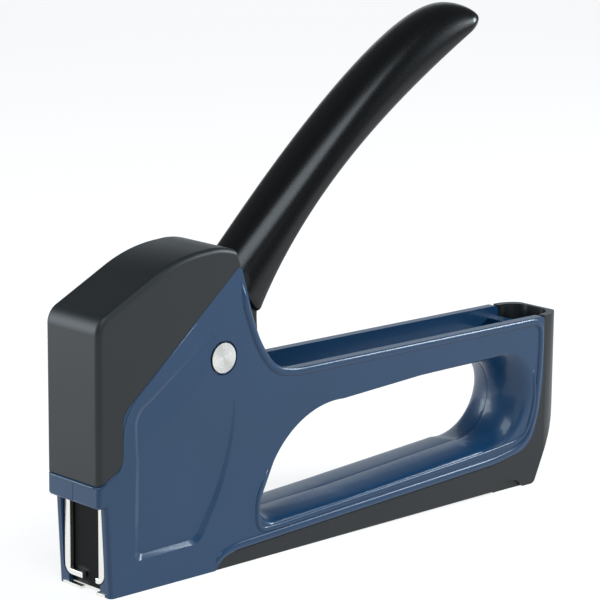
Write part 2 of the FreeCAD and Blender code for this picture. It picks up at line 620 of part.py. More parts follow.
# ---------------------------------------------------------------- magazine
channel_outer = box("channel_outer", ("2.2", "138"), ("-6.6", "6.6"), ("2.7", "channel_roof"))
channel_inner = box("channel_inner", ("-4", "160"), ("sheet_steel - 6.6", "6.6 - sheet_steel"),
                    ("0", "channel_roof - sheet_steel"))
parts["magazine_channel"] = cut("magazine_channel", channel_outer, channel_inner)

strip_crown = box("strip_crown", ("2", "2 + strip_length"), ("-staple_half_width", "staple_half_width"),
                  ("rail_top + 0.05", "rail_top + 0.05 + wire"))
strip_legs = [box(f"strip_leg_{n}", ("2", "2 + strip_length"), span, ("2.8", "rail_top + 0.05 + wire"))
              for n, span in enumerate((("-staple_half_width", "wire - staple_half_width"),
                                        ("staple_half_width - wire", "staple_half_width")))]
parts["staple_strip"] = fuse("staple_strip", strip_crown, *strip_legs)

rail_outer = box("rail_outer", ("rail_front", "rail_rear"), ("-rail_half_width", "rail_half_width"),
                 ("rail_base", "rail_top"))
rail_inner = box("rail_inner", ("0", "rail_rear + 5"), ("sheet_steel - rail_half_width", "rail_half_width - sheet_steel"),
                 ("0", "rail_top - sheet_steel"))
rail_slot = box("rail_slot", ("8", "106"), ("-1.2", "1.2"), ("5", "10"))
parts["core_rail"] = cut("core_rail", rail_outer, rail_inner, rail_slot)

PUSHER_FRONT = "2.2 + strip_length"
saddle = box("saddle", (PUSHER_FRONT, PUSHER_FRONT + " + pusher_length"), ("-staple_half_width", "staple_half_width"),
             ("rail_top + 0.05", "rail_top + 0.05 + wire"))
saddle_legs = [box(f"saddle_leg_{n}", (PUSHER_FRONT, PUSHER_FRONT + " + pusher_length"), span,
                   ("3", "rail_top + 0.05 + wire"))
               for n, span in enumerate((("-staple_half_width", "wire - staple_half_width"),
                                         ("staple_half_width - wire", "staple_half_width")))]
neck = box("neck", (PUSHER_FRONT + " + 1", PUSHER_FRONT + " + pusher_length - 1"), ("-1", "1"), ("5.8", "rail_top + 0.1"))
tongue = box("tongue", (PUSHER_FRONT + " + 1", PUSHER_FRONT + " + pusher_length - 1"), ("-3.6", "3.6"), ("3", "6.2"))
pusher_blank = fuse("pusher_blank", saddle, *saddle_legs, neck, tongue)
pusher_bore = pin_x("pusher_bore", "0", "rod_z", "rod_radius + running_gap", "0", "200")
parts["staple_pusher"] = cut("staple_pusher", pusher_blank, pusher_bore)
parts["pusher_rod"] = pin_x("pusher_rod", "0", "rod_z", "rod_radius", "14", "rod_rear")
NUT_SPAN = (("nut_front", "nut_front + 2"), ("-2", "2"), ("rod_z - 2", "rod_z + 2"))
parts["rod_nut"] = cut("rod_nut", box("rod_nut_block", *NUT_SPAN),
                       pin_x("rod_nut_bore", "0", "rod_z", "rod_radius", "140", "160"))

push_helix = doc.addObject("Part::Helix", "push_helix")
push_helix.Placement = FreeCAD.Placement(V(0, 0, 0), FreeCAD.Rotation(V(0, 1, 0), 90))
bind(push_helix, Radius="1.4", Pitch="4.2", Height="84", Placement__Base__x="2.2 + strip_length + pusher_length + 0.6",
     Placement__Base__z="rod_z")
push_wire = doc.addObject("Part::Circle", "push_wire")
push_wire.Placement = FreeCAD.Placement(V(0, 0, 0), FreeCAD.Rotation(V(1, 0, 0), 90))
bind(push_wire, Radius="0.22", Placement__Base__x="2.2 + strip_length + pusher_length + 0.6",
     Placement__Base__z="rod_z - 1.4")
pusher_spring = doc.addObject("Part::Sweep", "pusher_spring")
pusher_spring.Sections = [push_wire]
pusher_spring.Spine = push_helix
pusher_spring.Solid = True
pusher_spring.Frenet = True
parts["pusher_spring"] = pusher_spring

# ---------------------------------------------------------------- black base strip and rear cover
cover_profile = both_sides("cover_profile", [
    (33.1, 0.0), ("to", (35.5, 2.5)), ("by", (37.2, 3.35), (39.6, 3.6)), ("to", (43.0, 3.8)), ("to", (132.0, 8.0)),
    ("to", (141.5, 9.5)), ("by", (146.2, 12.0), (148.6, 16.5)), ("by", (150.3, 23.2), (151.1, 35.0)),
    ("to", (151.1, 46.8)), ("to", (158.2, 46.8)), ("by", (159.2, 46.4), (159.6, 45.4)), ("to", (159.5, 34.0)),
    ("by", (157.5, 21.4), (153.5, 10.9)), ("to", (149.2, 1.4)), ("by", (148.5, 0.4), (147.3, 0.0)),
    ("to", (133.2, 0.0)), ("to", (132.2, 0.6))], "cover_half_width")
COVER_CORNER = 7.5
HALF = dim("cover_half_width")
KNEE = COVER_CORNER * (1 - sqrt(0.5))
REAR = 159.65
cover_plan = plan_prism("cover_plan", [
    (20.0, -HALF), ("to", (REAR - COVER_CORNER, -HALF)), ("by", (REAR - KNEE, -HALF + KNEE), (REAR, -HALF + COVER_CORNER)),
    ("to", (REAR, HALF - COVER_CORNER)), ("by", (REAR - KNEE, HALF - KNEE), (REAR - COVER_CORNER, HALF)),
    ("to", (20.0, HALF))], "-1", "60")
cover_block = common("cover_block", cover_profile, cover_plan)
cover_hollow = plan_prism("cover_hollow", [
    (140.0, -7.4), ("to", (151.9, -7.4)), ("by", (155.6, -5.9), (157.2, -2.2)), ("to", (157.2, 2.2)),
    ("by", (155.6, 5.9), (151.9, 7.4)), ("to", (140.0, 7.4))], "27", "60")
cover_trough = box("cover_trough", ("30", "143.5"), ("-7", "7"), ("1.7", "30"))
rail_socket = box("rail_socket", ("138", "rail_rear"), ("-rail_half_width", "rail_half_width"), ("rail_base", "rail_top"))
rod_socket = pin_x("rod_socket", "0", "rod_z", "rod_radius", "140", "rod_rear")
nut_socket = box("nut_socket", *NUT_SPAN)
finger_scoops = [pin_y("scoop_near", "138.4", "-4.6", "7.4", "-cover_half_width - 1", "0.9 - cover_half_width"),
                 pin_y("scoop_far", "138.4", "-4.6", "7.4", "cover_half_width - 0.9", "cover_half_width + 1")]
rail_pad = box("rail_pad", ("36", "144"), ("-4.4", "4.4"), ("1.6", "rail_base"))
cover_body = cut("cover_body", cover_block, cover_hollow, cover_trough, rail_socket, nut_socket, *finger_scoops)
cover_padded = fuse("cover_padded", cover_body, rail_pad)
parts["rear_cover"] = cut("rear_cover", cover_padded, rod_socket)

catch_strip = prism("catch_strip", [(112.0, 2.0), ("to", (131.0, 2.0)), ("to", (134.0, 1.75)), ("to", (143.0, 1.75)),
                                    ("to", (143.0, 2.15)), ("to", (134.0, 2.15)), ("to", (131.0, 2.4)),
                                    ("to", (112.0, 2.4))], "-6.6", "-4.9")
parts["magazine_catch"] = catch_strip

# ---------------------------------------------------------------- checks and files
doc.recompute()
for item in doc.Objects:
    if "Invalid" in item.State or "Error" in item.State:
        raise RuntimeError(f"{item.Label} failed: {item.State}")
for name, item in parts.items():
    shape = item.Shape
    if shape.isNull() or not shape.isValid() or not shape.Solids:
        raise RuntimeError(f"{name} is not a valid solid")
    if item.Label != name:
        item.Label = name
    shape.exportStep(f"parts/{name}.step")
    print(f"{name:18} solids {len(shape.Solids)}  volume {shape.Volume:9.1f} mm3")
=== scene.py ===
# %% [markdown]
# A hand staple gun: a satin blue shell in two halves, a black cap on its head, a curved black lever that
# turns on a steel rivet, a bright steel guide in the nose and a black slide-out magazine under the handle.
# The tool's moving frame is loaded first, and everything made here is placed from it.

# %% Load the frame
import json
import math
import bpy
import numpy as np
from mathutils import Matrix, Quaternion, Vector


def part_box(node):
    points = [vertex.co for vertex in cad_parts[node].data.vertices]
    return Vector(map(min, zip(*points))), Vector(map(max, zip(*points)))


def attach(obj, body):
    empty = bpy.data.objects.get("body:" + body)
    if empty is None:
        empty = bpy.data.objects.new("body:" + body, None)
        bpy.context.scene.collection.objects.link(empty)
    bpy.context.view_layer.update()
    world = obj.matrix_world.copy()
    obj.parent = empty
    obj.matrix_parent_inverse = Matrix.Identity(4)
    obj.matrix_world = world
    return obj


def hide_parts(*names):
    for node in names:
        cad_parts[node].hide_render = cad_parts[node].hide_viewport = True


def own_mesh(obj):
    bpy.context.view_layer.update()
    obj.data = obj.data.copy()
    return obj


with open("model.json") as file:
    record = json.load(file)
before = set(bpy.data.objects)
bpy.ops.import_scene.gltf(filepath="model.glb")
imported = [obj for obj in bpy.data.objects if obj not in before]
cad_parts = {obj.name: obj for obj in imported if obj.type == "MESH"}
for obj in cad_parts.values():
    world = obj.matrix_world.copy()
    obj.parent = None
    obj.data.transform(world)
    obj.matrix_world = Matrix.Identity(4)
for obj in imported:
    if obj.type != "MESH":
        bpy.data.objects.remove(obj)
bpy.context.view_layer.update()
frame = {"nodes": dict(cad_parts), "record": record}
nodes = frame["nodes"]
MM = 0.001

# %% [markdown]
# Colours are written as sRGB hex, the way a paint or plastic sample is quoted. Blender's shaders work with
# linear light, so one function turns the one into the other.


# %% Colour helper
def linear(code):
    """Linear RGBA of an sRGB hex code: the lower part of the curve is a line, the rest a power of 2.4."""
    values = np.array([int(code[i:i + 2], 16) for i in (1, 3, 5)]) / 255.0
    low = values / 12.92
    high = ((values + 0.055) / 1.055) ** 2.4
    return tuple(np.where(values <= 0.04045, low, high)) + (1.0,)


print("middle grey is", round(float(linear("#808080")[0]), 3), "of full linear light")


# %% [markdown]
# A material is a small graph of nodes. One helper adds a node with its settings and its links, so that each
# finish below reads as a list of what it is made of.


# %% Node helpers
def add_node(tree, kind, settings=None, inputs=None, links=None):
    """Add one node. settings are its properties, inputs its socket values, links its incoming sockets."""
    node = tree.nodes.new(kind)
    for key, value in (settings or {}).items():
        setattr(node, key, value)
    for key, value in (inputs or {}).items():
        node.inputs[key].default_value = value
    for key, source in (links or {}).items():
        tree.links.new(source, node.inputs[key])
    return node


def new_material(name, **values):
    """A material with one Principled shader whose sockets are set from values."""
    material = bpy.data.materials.new(name)
    material.use_nodes = True
    tree = material.node_tree
    shader = tree.nodes["Principled BSDF"]
    for key, value in values.items():
        shader.inputs[key.replace("_", " ")].default_value = value
    return material, tree, shader


def per_mm(size):
    """Texture scale whose features are about size millimetres across."""
    return 1.0 / (size * MM)


print("a feature of 1 mm needs a texture scale of", round(per_mm(1.0)))


# %% [markdown]
# The shell is die-cast metal under a glossy powder coat. The coat hides the metal, so it is a plain
# dielectric in a deep marine blue. Powder cures with a faint orange peel about a millimetre across, which
# softens reflections, and a thin clear skin on top of it keeps the bright lines on rims crisp.


# %% Blue powder coat
def make_blue_coat():
    """Orange peel noise feeds the bump and the roughness; a slow noise drifts the tone."""
    material, tree, shader = new_material("marine_blue_powder_coat", IOR=1.38,
                                          Coat_Weight=0.3, Coat_Roughness=0.14)
    place = add_node(tree, "ShaderNodeTexCoord")
    drift = add_node(tree, "ShaderNodeTexNoise", inputs={"Scale": per_mm(26.0), "Detail": 2.0},
                     links={"Vector": place.outputs["Object"]})
    tone = add_node(tree, "ShaderNodeMix", settings={"data_type": "RGBA"},
                    inputs={"A": linear("#062F4D"), "B": linear("#083557")},
                    links={"Factor": drift.outputs["Fac"]})
    peel = add_node(tree, "ShaderNodeTexNoise",
                    inputs={"Scale": per_mm(1.1), "Detail": 2.0, "Roughness": 0.45},
                    links={"Vector": place.outputs["Object"]})
    rough = add_node(tree, "ShaderNodeMapRange", inputs={"To Min": 0.36, "To Max": 0.46},
                     links={"Value": peel.outputs["Fac"]})
    bump = add_node(tree, "ShaderNodeBump", inputs={"Strength": 1.0, "Distance": 0.01 * MM},
                    links={"Height": peel.outputs["Fac"]})
    tree.links.new(tone.outputs["Result"], shader.inputs["Base Color"])
    tree.links.new(rough.outputs["Result"], shader.inputs["Roughness"])
    tree.links.new(bump.outputs["Normal"], shader.inputs["Normal"])
    return material


blue_coat = make_blue_coat()
print("made", blue_coat.name)


# %% [markdown]
# The cap, the base strip, the rear cover and the lever's sleeve are moulded plastics. Black ABS from a
# spark-eroded mould has a grain about a third of a millimetre across, which spreads the light and makes it
# look dark grey. The nylon sleeve comes from a polished mould: nearly black, with one soft bright band along
# it. The stoved enamel on the lever's steel arm and the rubber of the bumper differ only in grain and gloss.


# %% Grained blacks
def make_grained_black(name, dark, light, grain_mm, depth_mm, rough, ior=1.42):
    """Grain noise feeds the bump and the roughness; a slow noise drifts between two near blacks."""
    material, tree, shader = new_material(name, IOR=ior)
    place = add_node(tree, "ShaderNodeTexCoord")
    drift = add_node(tree, "ShaderNodeTexNoise", inputs={"Scale": per_mm(18.0), "Detail": 2.0},
                     links={"Vector": place.outputs["Object"]})
    tone = add_node(tree, "ShaderNodeMix", settings={"data_type": "RGBA"},
                    inputs={"A": linear(dark), "B": linear(light)}, links={"Factor": drift.outputs["Fac"]})
    grain = add_node(tree, "ShaderNodeTexNoise",
                     inputs={"Scale": per_mm(grain_mm), "Detail": 3.0, "Roughness": 0.6},
                     links={"Vector": place.outputs["Object"]})
    spread = add_node(tree, "ShaderNodeMapRange", inputs={"To Min": rough - 0.04, "To Max": rough + 0.05},
                      links={"Value": grain.outputs["Fac"]})
    bump = add_node(tree, "ShaderNodeBump", inputs={"Strength": 1.0, "Distance": depth_mm * MM},
                    links={"Height": grain.outputs["Fac"]})
    tree.links.new(tone.outputs["Result"], shader.inputs["Base Color"])
    tree.links.new(spread.outputs["Result"], shader.inputs["Roughness"])
    tree.links.new(bump.outputs["Normal"], shader.inputs["Normal"])
    return material


cap_black = make_grained_black("grained_black_abs", "#15191B", "#1A1F21", 0.35, 0.008, 0.45)
base_black = make_grained_black("satin_black_abs", "#111517", "#171B1D", 0.5, 0.006, 0.38)
lever_black = make_grained_black("polished_black_nylon", "#020405", "#040608", 0.8, 0.0005, 0.27, 1.4)
arm_black = make_grained_black("black_stoved_enamel", "#090C0E", "#0D1113", 0.8, 0.004, 0.32)
bumper_rubber = make_grained_black("moulded_black_rubber", "#101112", "#17181A", 0.6, 0.02, 0.62)
print("made", [black.name for black in (cap_black, base_black, lever_black, arm_black, bumper_rubber)])


# %% [markdown]
# The steel pieces differ in how they were finished. Rolled strip keeps fine streaks along its length: the
# nose guide and the sole are bright nickel plate, the magazine is dull zinc plate, and the inner pieces are
# oiled spring steel or black oxide. The streaks are noise drawn out along one axis, and drawn at 0.9 mm
# across, coarser than a mill leaves them, so that they show.


# %% Rolled and drawn steels
def make_rolled_steel(name, colour, rough, streak, depth_mm):
    """Noise stretched along the streaks feeds the roughness and a very shallow bump."""
    material, tree, shader = new_material(name, Metallic=1.0, Base_Color=linear(colour))
    place = add_node(tree, "ShaderNodeTexCoord")
    stretched = add_node(tree, "ShaderNodeMapping", inputs={"Scale": streak},
                         links={"Vector": place.outputs["Object"]})
    lines = add_node(tree, "ShaderNodeTexNoise",
                     inputs={"Scale": per_mm(0.9), "Detail": 3.0, "Roughness": 0.6},
                     links={"Vector": stretched.outputs["Vector"]})
    spread = add_node(tree, "ShaderNodeMapRange", inputs={"To Min": rough - 0.07, "To Max": rough + 0.1},
                      links={"Value": lines.outputs["Fac"]})
    bump = add_node(tree, "ShaderNodeBump", inputs={"Strength": 1.0, "Distance": depth_mm * MM},
                    links={"Height": lines.outputs["Fac"]})
    tree.links.new(spread.outputs["Result"], shader.inputs["Roughness"])
    tree.links.new(bump.outputs["Normal"], shader.inputs["Normal"])
    return material


nickel_plate = make_rolled_steel("bright_nickel_plate", "#E9E7E2", 0.22, (1.0, 1.0, 0.08), 0.004)
zinc_plate = make_rolled_steel("dull_zinc_plate", "#A9ADB0", 0.34, (0.08, 1.0, 1.0), 0.006)
spring_steel = make_rolled_steel("oiled_spring_steel", "#6F6C68", 0.3, (1.0, 1.0, 1.0), 0.004)
black_oxide = make_rolled_steel("black_oxide_steel", "#161617", 0.4, (1.0, 1.0, 0.1), 0.006)
staple_wire = make_rolled_steel("galvanised_staple_wire", "#C9CBCB", 0.28, (1.0, 0.1, 1.0), 0.004)
print("made", [steel.name for steel in (nickel_plate, zinc_plate, spring_steel, black_oxide, staple_wire)])


# %% [markdown]
# The rivet's head was faced on a lathe, so fine rings run round its centre. They spread each highlight into
# two bright wedges that meet in the middle. The rings are a wave texture, centred on the pivot by a Mapping
# node and drawn at 0.3 mm, coarser than the real tool marks so that they show.


# %% Turned steel
def make_turned_steel(centre, ring_mm):
    """Rings of a wave about the Y axis through centre feed the bump; a noise breaks up the roughness."""
    material, tree, shader = new_material("turned_rivet_steel", Metallic=1.0, Base_Color=linear("#D8D7D3"))
    place = add_node(tree, "ShaderNodeTexCoord")
    centred = add_node(tree, "ShaderNodeMapping", inputs={"Location": (-centre[0], 0.0, -centre[1])},
                       links={"Vector": place.outputs["Object"]})
    # at a scale of 1 a wave texture's rings are pi / 10 apart
    rings = add_node(tree, "ShaderNodeTexWave", settings={"wave_type": "RINGS", "rings_direction": "Y"},
                     inputs={"Scale": per_mm(ring_mm) * math.pi / 10.0, "Distortion": 0.4, "Detail": 1.0},
                     links={"Vector": centred.outputs["Vector"]})
    cloud = add_node(tree, "ShaderNodeTexNoise", inputs={"Scale": per_mm(0.8), "Detail": 2.0},
                     links={"Vector": centred.outputs["Vector"]})
    spread = add_node(tree, "ShaderNodeMapRange", inputs={"To Min": 0.22, "To Max": 0.36},
                      links={"Value": cloud.outputs["Fac"]})
    bump = add_node(tree, "ShaderNodeBump", inputs={"Strength": 1.0, "Distance": 0.03 * MM},
                    links={"Height": rings.outputs["Fac"]})
    tree.links.new(spread.outputs["Result"], shader.inputs["Roughness"])
    tree.links.new(bump.outputs["Normal"], shader.inputs["Normal"])
    return material


rivet_low, rivet_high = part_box("pivot_rivet")
PIVOT = ((rivet_low[0] + rivet_high[0]) / 2.0, (rivet_low[2] + rivet_high[2]) / 2.0)
turned_steel = make_turned_steel(PIVOT, 0.3)
print("pivot at mm", [round(v / MM, 2) for v in PIVOT])


# %% [markdown]
# Each piece of the frame has a slot that says what it is made of. Pieces could be dressed one by one, but a
# table from slot to finish keeps two pieces of the same stock alike.

# %% Give every frame piece its finish
FINISHES = {
    "blue_paint": blue_coat,
    "black_plastic": cap_black,
    "base_plastic": base_black,
    "lever_black": lever_black,
    "arm_black": arm_black,
    "rubber": bumper_rubber,
    "rivet_steel": turned_steel,
    "bright_steel": nickel_plate,
    "zinc_steel": zinc_plate,
    "zinc_screws": zinc_plate,
    "spring_steel": spring_steel,
    "black_steel": black_oxide,
    "plunger_black": black_oxide,
    "staple_wire": staple_wire,
}
slot_of = {row["node"]: row["material_slot"] for row in frame["record"]["subparts"]}
for name, piece in nodes.items():
    piece.data.materials.clear()
    piece.data.materials.append(FINISHES[slot_of[name]])
print("finished", len(nodes), "frame pieces")


# %% [markdown]
# Every new piece is a grid of points: rows go along it and columns go round it. Each row joins up with
# itself, and the ends are closed either by drawing them to a point or by one flat face. The faces only name
# points by number, so they are worked out once here, for a grid of any size.


# %% Mesh helpers
def mesh_piece(name, points, faces, material):
    """A smooth shaded mesh object from points in millimetres."""
    mesh = bpy.data.meshes.new(name)
    mesh.from_pydata((np.asarray(points) * MM).tolist(), [], faces)
    mesh.validate()
    mesh.update()
    mesh.shade_smooth()
    mesh.materials.append(material)
    piece = bpy.data.objects.new(name, mesh)
    bpy.context.scene.collection.objects.link(piece)
    return piece


def ring_quads(rows, columns):
    """Quads between neighbouring rows of a grid that is closed round its columns."""
    i, j = np.meshgrid(np.arange(rows - 1), np.arange(columns), indexing="ij")
    here, beside = i * columns + j, i * columns + (j + 1) % columns
    return np.stack([here, beside, beside + columns, here + columns], axis=-1).reshape(-1, 4).tolist()


def pointed_faces(rows, columns):
    """Ring quads, and triangles from each end row to its own point; the two points follow the grid's."""
    ring = np.arange(columns)
    after = (ring + 1) % columns
    last_row = (rows - 1) * columns
    fore_point = np.full(columns, rows * columns)
    fore = np.stack([fore_point, after, ring], axis=1).tolist()
    aft = np.stack([fore_point + 1, last_row + ring, last_row + after], axis=1).tolist()
    return ring_quads(rows, columns) + fore + aft


def flat_ended_faces(rows, columns):
    """Ring quads, and one flat face over each end row."""
    last_row = (rows - 1) * columns
    ends = [list(range(columns))[::-1], [last_row + k for k in range(columns)]]
    return ring_quads(rows, columns) + ends


print("a grid of 3 by 8 has", len(pointed_faces(3, 8)), "faces pointed,", len(flat_ended_faces(3, 8)), "flat")


# %% [markdown]
# The lever's grip is a moulded nylon sleeve over the steel arm: a long swan-necked form with a full round
# back and a flatter underside. It could be sculpted, but two guide curves in the mid-plane say it all: one
# runs along the underside and one along the back, and every section is a rounded D held between them. Both
# curves end in the same point, so the tip closes by itself, and near it the width falls like a quarter of
# an ellipse. Between the head's walls the sleeve is narrower, and it swells just behind their rear edge.

# %% Grip curves and section
GRIP_UNDERSIDE = np.array([(49.8, 62.6), (66.7, 95.8), (106.2, 114.9), (127.5, 129.5)])
GRIP_BACK = np.array([(39.7, 73.7), (80.9, 113.6), (115.7, 143.7), (127.5, 129.5)])
GRIP_WIDEST = 0.32      # how far up the section its widest line lies
BACK_POWER = 2.2        # an ellipse has a power of 2
UNDERSIDE_POWER = 3.5   # a higher power is flatter, with tighter corners


def bezier(points, u):
    """Cubic Bezier curve: the four points weighted by (1-u)^3, 3u(1-u)^2, 3u^2(1-u) and u^3."""
    weights = np.stack([(1 - u) ** 3, 3 * u * (1 - u) ** 2, 3 * u ** 2 * (1 - u), u ** 3], axis=1)
    return weights @ points


def grip_profile(count):
    """Rounded D: a superellipse of the back's power above its widest line and of the underside's below it."""
    turn = np.linspace(0.0, 2.0 * np.pi, count, endpoint=False)
    side, rise = np.cos(turn), np.sin(turn)
    power = np.where(rise >= 0.0, 2.0 / BACK_POWER, 2.0 / UNDERSIDE_POWER)
    across = np.sign(side) * np.abs(side) ** power
    reach = np.where(rise >= 0.0, 1.0 - GRIP_WIDEST, -GRIP_WIDEST)
    return across, GRIP_WIDEST + reach * np.abs(rise) ** power


grip_depth = np.linalg.norm(np.diff([bezier(GRIP_UNDERSIDE, np.linspace(0.0, 1.0, 5)),
                                     bezier(GRIP_BACK, np.linspace(0.0, 1.0, 5))], axis=0)[0], axis=1)
print("grip depth at quarters of its length, mm", np.round(grip_depth, 1))

# %% Grip surface
GRIP_HALF_WIDTH = 8.8
ROOT_HALF_WIDTH = 7.1
SHOULDER_RUN = GRIP_HALF_WIDTH - ROOT_HALF_WIDTH
GRIP_ROOT_ROUND = 1.5
GRIP_TIP_FROM = 0.89    # share of the curves past which the width closes
TIP_CROWDING = 1.6      # rows crowd towards the tip, which turns fastest
WALL_HEIGHTS = [50.9, 56.1, 62.3, 74.1, 80.0]
WALL_REARS = [50.6, 47.2, 44.6, 41.2, 39.5]
WALL_CLEARANCE = 0.5


def grip_body(u, columns):
    """Sections at u between the curves; each point's half width is the lesser of the tip's and the root's."""
    under, back = bezier(GRIP_UNDERSIDE, u), bezier(GRIP_BACK, u)
    past = np.clip((u - GRIP_TIP_FROM) / (1.0 - GRIP_TIP_FROM), 0.0, 1.0)
    width = GRIP_HALF_WIDTH * np.sqrt(1.0 - past ** 2)
    across, height = grip_profile(columns)
    ring = under[:, None, :] + (back - under)[:, None, :] * height[None, :, None]
    clear = np.interp(ring[..., 1], WALL_HEIGHTS, WALL_REARS)
    shoulder = 1.0 - np.clip((ring[..., 0] - clear - WALL_CLEARANCE) / SHOULDER_RUN, 0.0, 1.0)
    narrow = np.minimum(width[:, None], ROOT_HALF_WIDTH + SHOULDER_RUN * np.sqrt(1.0 - shoulder ** 2))
    return np.stack([ring[..., 0], narrow * across[None, :], ring[..., 1]], axis=-1)


def grip_root(first, rows):
    """The first section shrinks about its centre while it moves forward along a quarter circle."""
    turn = np.linspace(np.pi / 2.0, 0.0, rows)[:-1, None, None]
    outward = first - first.mean(axis=0)
    outward /= np.linalg.norm(outward, axis=1, keepdims=True)
    span = GRIP_BACK[0] - GRIP_UNDERSIDE[0]
    forward = np.array([-span[1], 0.0, span[0]])
    forward /= np.linalg.norm(forward)
    return first + GRIP_ROOT_ROUND * (np.sin(turn) * forward - (1.0 - np.cos(turn)) * outward)


def make_grip(rows, columns, root_rows):
    """The root's rows, then the body's, closed by a point at each end."""
    u = 1.0 - (1.0 - np.linspace(0.0, 1.0, rows)[:-1]) ** TIP_CROWDING
    body = grip_body(u, columns)
    root = grip_root(body[0], root_rows)
    grid = np.concatenate([root, body])
    tip = np.array([GRIP_BACK[3, 0], 0.0, GRIP_BACK[3, 1]])
    points = np.concatenate([grid.reshape(-1, 3), [root[0].mean(axis=0)], [tip]])
    return mesh_piece("grip_sleeve", points, pointed_faces(len(grid), columns), lever_black)


grip = make_grip(rows=150, columns=96, root_rows=7)
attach(grip, "lever")
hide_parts("lever_grip")
print("grip faces", len(grip.data.polygons))


# %% [markdown]
# A rounded bead runs round each side of the shell, along its lower edge, up the rear and back along the rim
# of the open channel. A finer one runs round the hand opening, and the finest follows the cap's line. They
# stiffen the casting, and they are what catches the light in thin bright lines. Each is half an ellipse
# carried along the edge's own outline, which is given by its corners and rounded where it turns.

# %% Bead outlines
SHELL_EDGE = np.array([(33.0, 0.6), (35.4, 2.8), (39.6, 3.9), (132.0, 8.3), (141.5, 9.9), (146.4, 12.9),
                       (149.2, 19.5), (150.8, 35.0), (150.8, 46.8), (59.0, 47.2), (52.6, 48.6), (48.0, 54.4),
                       (44.6, 62.3), (41.3, 73.6)])
OPENING_EDGE = np.array([(51.2, 24.0), (47.0, 15.4), (47.4, 8.0), (53.0, 8.0), (78.5, 9.6), (127.0, 12.5),
                         (144.0, 14.2), (147.4, 24.5), (145.9, 34.0)])
CAP_EDGE = np.array([(-2.6, 28.2), (3.4, 31.6), (3.6, 44.6), (40.0, 75.4)])
CORNER_SHARE = 0.45
CORNER_STEPS = 10


def rounded_path(corners):
    """Straight runs whose corners are cut at a share of the shorter run and bridged by quadratic curves."""
    ahead = np.concatenate([corners[1:], corners[-1:] * 2 - corners[-2:-1]])
    behind = np.concatenate([corners[:1] * 2 - corners[1:2], corners[:-1]])
    run_ahead, run_behind = np.linalg.norm(ahead - corners, axis=1), np.linalg.norm(corners - behind, axis=1)
    reach = CORNER_SHARE * np.minimum(run_ahead, run_behind)
    enter = corners + (behind - corners) / run_behind[:, None] * reach[:, None]
    leave = corners + (ahead - corners) / run_ahead[:, None] * reach[:, None]
    u = np.linspace(0.0, 1.0, CORNER_STEPS)[None, :, None]
    curve = (1 - u) ** 2 * enter[:, None] + 2 * u * (1 - u) * corners[:, None] + u ** 2 * leave[:, None]
    return np.concatenate([corners[:1], curve[1:-1].reshape(-1, 2), corners[-1:]])


print("points along the shell's edge", len(rounded_path(SHELL_EDGE)))

# %% Bead and nose lip surfaces
shell_low, shell_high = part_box("right_housing")
SIDE_FACE = -shell_low[1] / MM
NOSE_FACE = shell_low[0] / MM
BEAD_EMBED = 0.12       # how deep a bead's flat side lies under the shell's face
LIP_EMBED = 0.15
LIP_END_SHARE = 0.08    # share of the lip's half length over which each end closes
END_SHARE = 0.0004      # an end stops here, so that its last ring is still a ring
ARC_POINTS = 11


def make_bead(name, path, width, proud, inset, taper, side):
    """Half an ellipse, width across and proud high, carried along the path and inset to its left.

    Over the length of taper each end closes as the square root of the distance from it."""
    step = np.diff(path, axis=0)
    lengths = np.linalg.norm(step, axis=1)
    step /= lengths[:, None]
    along = np.concatenate([step[:1], step[1:] + step[:-1], step[-1:]])
    along /= np.linalg.norm(along, axis=1)[:, None]
    left = np.stack([-along[:, 1], along[:, 0]], axis=1)
    run = np.concatenate([[0.0], np.cumsum(lengths)])
    swell = np.clip(np.minimum(run, run[-1] - run) / taper, END_SHARE, 1.0)[:, None] ** 0.5
    turn = np.linspace(0.0, np.pi, ARC_POINTS)[None, :]
    offset = inset + 0.5 * width * np.cos(turn) * swell
    place = path[:, None, :] + left[:, None, :] * offset[..., None]
    out = SIDE_FACE - BEAD_EMBED + (proud + BEAD_EMBED) * np.sin(turn) * swell
    grid = np.stack([place[..., 0], side * out, place[..., 1]], axis=-1)
    faces = flat_ended_faces(*grid.shape[:2])
    if side < 0:
        faces = [face[::-1] for face in faces]
    return mesh_piece(name, grid.reshape(-1, 3), faces, blue_coat)


def make_nose_lip(reach, radius, front, height):
    """Half a round bar along Y; each end closes as the square root of the distance from it."""
    run = np.linspace(-1.0, 1.0, 41)[:, None]
    swell = np.sqrt(np.clip((1.0 - np.abs(run)) / LIP_END_SHARE, END_SHARE, 1.0))
    turn = np.linspace(0.0, np.pi, ARC_POINTS)[None, :]
    x = front + LIP_EMBED - (radius + LIP_EMBED) * np.sin(turn) * swell
    z = height + radius * np.cos(turn) * swell
    grid = np.stack([x, reach * run + 0.0 * x, z], axis=-1)
    return mesh_piece("nose_lip", grid.reshape(-1, 3), flat_ended_faces(*grid.shape[:2]), blue_coat)


print("shell's side face at mm", round(SIDE_FACE, 2), "nose face at mm", round(NOSE_FACE, 2))

